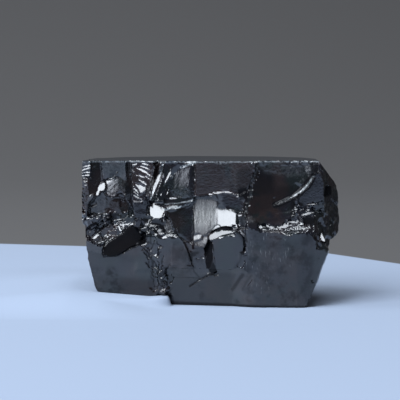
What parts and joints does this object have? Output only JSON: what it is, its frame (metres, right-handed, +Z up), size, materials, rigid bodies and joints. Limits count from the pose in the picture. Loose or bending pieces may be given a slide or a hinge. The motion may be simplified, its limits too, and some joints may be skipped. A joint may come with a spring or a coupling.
{
  "type": "shungite chunk",
  "caption": "Rough chunk of glassy black carbon stone with shell-like breaks all round, a sawn flat top and a flat resting face.",
  "frame": {"origin": "middle of the bounding box, at the height of the resting face", "axes": "+X along the longest side, to the viewer's right; -Y out of the most broken face; +Z up, out of the sawn top"},
  "size_m": [0.0822, 0.0452, 0.0458],
  "materials": {
    "shungite": "glassy broken stone with a steel-grey mirror lustre, satin on the sawn top"
  },
  "bodies": {
    "root": {"shungite_chunk": "shungite"}
  },
  "joints": []
}
